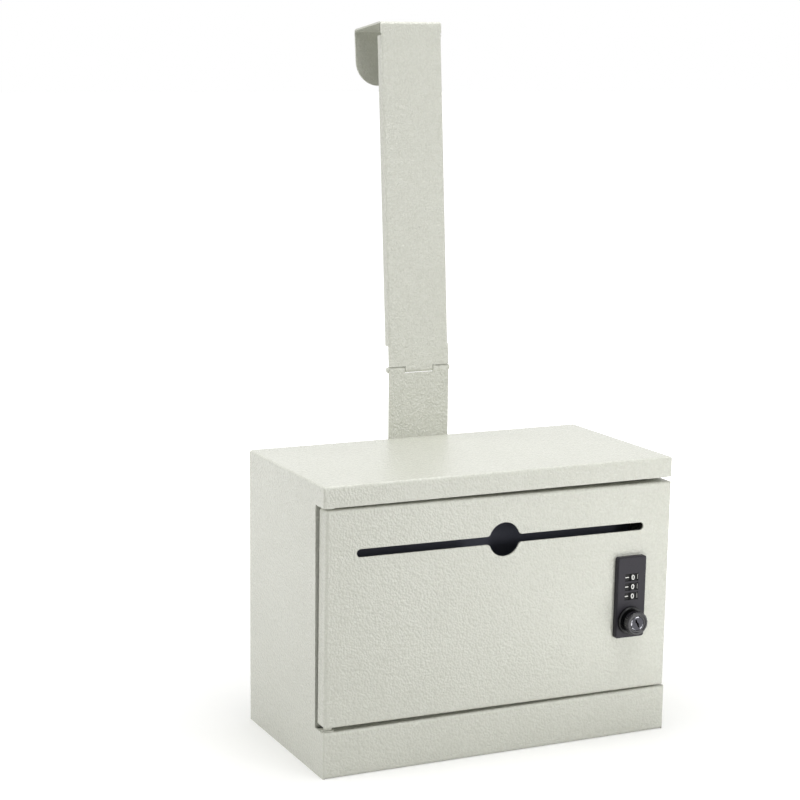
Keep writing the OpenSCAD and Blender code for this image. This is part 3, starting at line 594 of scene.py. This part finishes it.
class DROPBOX_OT_finish_lock(bpy.types.Operator):
    """Finishes the lock's plate, housing, collar, knob, wheels, ticks and key core"""

    bl_idname = "dropbox.finish_lock"
    bl_label = "Finish Lock"

    def execute(self, context):
        lock = context.scene.drop_box_lock
        give(painted_die_cast(lock), "lock_face_plate", "lock_housing")
        give(moulded_plastic("glossy_moulded_collar", lock.dial_colour, roughness=0.24,
                             grain=0.8 * MM, depth=0.004 * MM, shine=0.3), "knob_collar")
        give(moulded_plastic("glossy_moulded_knob", lock.knob_colour, roughness=0.26,
                             grain=0.6 * MM, depth=0.006 * MM), "knob")
        give(moulded_plastic("satin_moulded_dials", lock.dial_colour, roughness=0.4,
                             grain=0.5 * MM, depth=0.008 * MM, shine=0.2), *WHEELS.values())
        give(turned_dark_chrome(lock), "key_core")
        give(paint_fill(lock), "index_ticks")
        return {"FINISHED"}


class DROPBOX_OT_plate_hardware(bpy.types.Operator):
    """Plates the screws, nuts, rivets, dial rod, cam and spindle; finishes spring and bushes"""

    bl_idname = "dropbox.plate_hardware"
    bl_label = "Plate Hardware"

    def execute(self, context):
        hardware = context.scene.drop_box_hardware
        give(zinc_plating(hardware), *PLATED)
        give(rolled_spring_steel(hardware), "detent_spring")
        give(moulded_plastic("moulded_nylon", hardware.nylon_colour, roughness=0.5,
                             grain=0.7 * MM, depth=0.02 * MM), "pivot_bushes")
        return {"FINISHED"}


class DROPBOX_OT_number_dials(bpy.types.Operator):
    """Puts the numbers round the three wheels"""

    bl_idname = "dropbox.number_dials"
    bl_label = "Number Dials"

    def execute(self, context):
        lock = context.scene.drop_box_lock
        set_of_numbers = bpy.data.collections.new("numbers")
        for digit in range(lock.number_count):
            set_of_numbers.objects.link(number_mesh(digit, lock, WHEEL_RADIUS))
        tree = number_ring_tree()
        values = {"Numbers": set_of_numbers, "Count": lock.number_count,
                  "Start": lock.first_turn,
                  "Step": 2 * math.pi / lock.number_count,
                  "Paint": bpy.data.materials["white_enamel_fill"]}
        for label, node in WHEELS.items():
            upright = joint_axis(f"dial_{label}_spin")
            across = Vector((0, 1, 0)).cross(upright)
            turned = Matrix((across, (0, 1, 0), upright)).transposed().to_4x4()
            piece = grow(f"numbers_{label}", tree, values,
                         place=Matrix.Translation(centre_of(node)) @ turned)
            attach(piece, f"dial_{label}")
        for shape in list(set_of_numbers.objects):
            bpy.data.objects.remove(shape)
        bpy.data.collections.remove(set_of_numbers)
        return {"FINISHED"}


class DROPBOX_OT_cut_threads(bpy.types.Operator):
    """Winds the threads of the lock barrel and of the strap screws"""

    bl_idname = "dropbox.cut_threads"
    bl_label = "Cut Threads"

    def execute(self, context):
        hardware = context.scene.drop_box_hardware
        tree = thread_tree()
        nut = centre_of("barrel_nut")
        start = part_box("barrel_nut")[1].y + hardware.ridge
        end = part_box("lock_housing")[1].y
        values = {"Radius": end_radius("lock_housing", (nut.x, end, nut.z), max),
                  "Length": end - start - hardware.ridge,
                  "Pitch": hardware.barrel_pitch, "Ridge": hardware.ridge,
                  "Steps": BARREL_TURN_STEPS,
                  "Finish": bpy.data.materials["satin_painted_die_cast"]}
        piece = grow("barrel_thread", tree, values, [(nut.x, start, nut.z)])
        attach(piece, "door")
        ends = screw_ends()
        nuts_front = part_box("strap_nuts")[0].y
        values = {"Radius": end_radius("strap_screws", ends[0], min),
                  "Length": nuts_front - ends[0][1] - 2 * hardware.ridge,
                  "Pitch": hardware.screw_pitch, "Ridge": hardware.ridge,
                  "Steps": SCREW_TURN_STEPS,
                  "Finish": bpy.data.materials["bright_zinc_plating"]}
        starts = [(x, y + hardware.ridge, z) for x, y, z in ends]
        piece = grow("strap_screw_threads", tree, values, starts)
        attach(piece, "cabinet")
        return {"FINISHED"}


def softbox(name, place, aim, width, height, watts):
    """A rectangular lamp that faces a point."""
    lamp = bpy.data.lights.new(name, "AREA")
    lamp.shape = "RECTANGLE"
    lamp.size = width
    lamp.size_y = height
    lamp.energy = watts
    box = bpy.data.objects.new(name, lamp)
    box.location = place
    box.rotation_euler = (Vector(aim) - Vector(place)).to_track_quat("-Z", "Y").to_euler()
    bpy.context.scene.collection.objects.link(box)
    return box


class DROPBOX_OT_set_stage(bpy.types.Operator):
    """Lays the floor, hangs the lamps and sets up the camera"""

    bl_idname = "dropbox.set_stage"
    bl_label = "Set Stage"

    def execute(self, context):
        scene = context.scene
        stage = scene.drop_box_stage
        scene.view_settings.view_transform = "Standard"
        self.lay_floor(stage)
        self.light_world(stage)
        for lamp in LAMPS:
            softbox(*lamp)
        pad = softbox(*LIGHT_PAD)
        pad.rotation_euler.z = LIGHT_PAD_TURN
        pad.visible_camera = False
        self.aim_camera(scene, stage)
        return {"FINISHED"}

    def lay_floor(self, stage):
        """A floor that fades to white away from the box."""
        form = bmesh.new()
        bmesh.ops.create_grid(form, x_segments=2, y_segments=2, size=stage.floor_size)
        mesh = bpy.data.meshes.new("floor")
        form.to_mesh(mesh)
        form.free()
        floor = bpy.data.objects.new("floor", mesh)
        bpy.context.scene.collection.objects.link(floor)
        # Painted board, pale to the light. The eye sees it fade to white away from the box,
        # so that only the shadow near the box shows
        finish, tree, shader = new_finish("matt_white_board", 0.9, stage.floor_colour)
        shader.inputs["Specular IOR Level"].default_value = 0.0
        away = vector_maths(tree, "LENGTH", place_on(tree))["Value"]
        fade = ramp(tree, away, FADE_START, FADE_END, GLOW_NEAR, GLOW_FAR)
        glow = reckon(tree, "MULTIPLY", seen_rays(tree), fade)
        lit = put(tree, "ShaderNodeEmission", {"Strength": glow})
        both = put(tree, "ShaderNodeAddShader", {0: shader.outputs[0], 1: lit.outputs[0]})
        tree.links.new(both.outputs[0], tree.nodes["Material Output"].inputs["Surface"])
        mesh.materials.append(finish)

    def light_world(self, stage):
        """White to look at, and a dimmer light on the box."""
        world = bpy.data.worlds.new("plain_room")
        world.use_nodes = True
        tree = world.node_tree
        level = ramp(tree, seen_rays(tree), low=stage.ambient)
        sky = tree.nodes["Background"]
        sky.inputs["Color"].default_value = (1, 1, 1, 1)
        tree.links.new(level, sky.inputs["Strength"])
        bpy.context.scene.world = world

    def aim_camera(self, scene, stage):
        """Sets the camera from its place, turn, tilt and roll."""
        eye = bpy.data.cameras.new("camera")
        eye.sensor_width = 36
        eye.lens = stage.lens
        eye.shift_x, eye.shift_y = stage.shift
        camera = bpy.data.objects.new("camera", eye)
        turn, tilt = stage.camera_turn, stage.camera_tilt
        ahead = Vector((-math.sin(turn) * math.cos(tilt), math.cos(turn) * math.cos(tilt),
                        -math.sin(tilt)))
        right = ahead.cross(Vector((0, 0, 1))).normalized()
        above = right.cross(ahead)
        rolled = right * math.cos(stage.camera_roll) + above * math.sin(stage.camera_roll)
        above = rolled.cross(ahead)
        camera.matrix_world = (Matrix.Translation(stage.camera_place)
                               @ Matrix((rolled, above, -ahead)).transposed().to_4x4())
        scene.collection.objects.link(camera)
        scene.camera = camera


OPERATORS = (DROPBOX_OT_coat_steel, DROPBOX_OT_prime_baffle, DROPBOX_OT_finish_lock,
             DROPBOX_OT_plate_hardware, DROPBOX_OT_number_dials, DROPBOX_OT_cut_threads,
             DROPBOX_OT_set_stage)


class DROPBOX_PT_looks(bpy.types.Panel):
    """Lists the steps and their settings"""

    bl_idname = "DROPBOX_PT_looks"
    bl_label = "Key Drop Box"
    bl_space_type = "VIEW_3D"
    bl_region_type = "UI"
    bl_category = "Drop Box"

    def draw(self, context):
        for operator in OPERATORS:
            self.layout.operator(operator.bl_idname)
        for key in SETTINGS:
            group = getattr(context.scene, key)
            column = self.layout.column(align=True)
            for name in group.__annotations__:
                column.prop(group, name)


SETTINGS = {"drop_box_coat": DropBoxCoat, "drop_box_lock": DropBoxLock,
            "drop_box_hardware": DropBoxHardware, "drop_box_stage": DropBoxStage}
CLASSES = (*SETTINGS.values(), *OPERATORS, DROPBOX_PT_looks)


def register():
    for cls in CLASSES:
        bpy.utils.register_class(cls)
    for key, group in SETTINGS.items():
        setattr(bpy.types.Scene, key, PointerProperty(type=group))


def unregister():
    for key in SETTINGS:
        delattr(bpy.types.Scene, key)
    for cls in reversed(CLASSES):
        bpy.utils.unregister_class(cls)


def main():
    register()
    bpy.ops.dropbox.coat_steel()
    bpy.ops.dropbox.prime_baffle()
    bpy.ops.dropbox.finish_lock()
    bpy.ops.dropbox.plate_hardware()
    bpy.ops.dropbox.number_dials()
    bpy.ops.dropbox.cut_threads()
    bpy.ops.dropbox.set_stage()


if __name__ == "__main__":
    main()
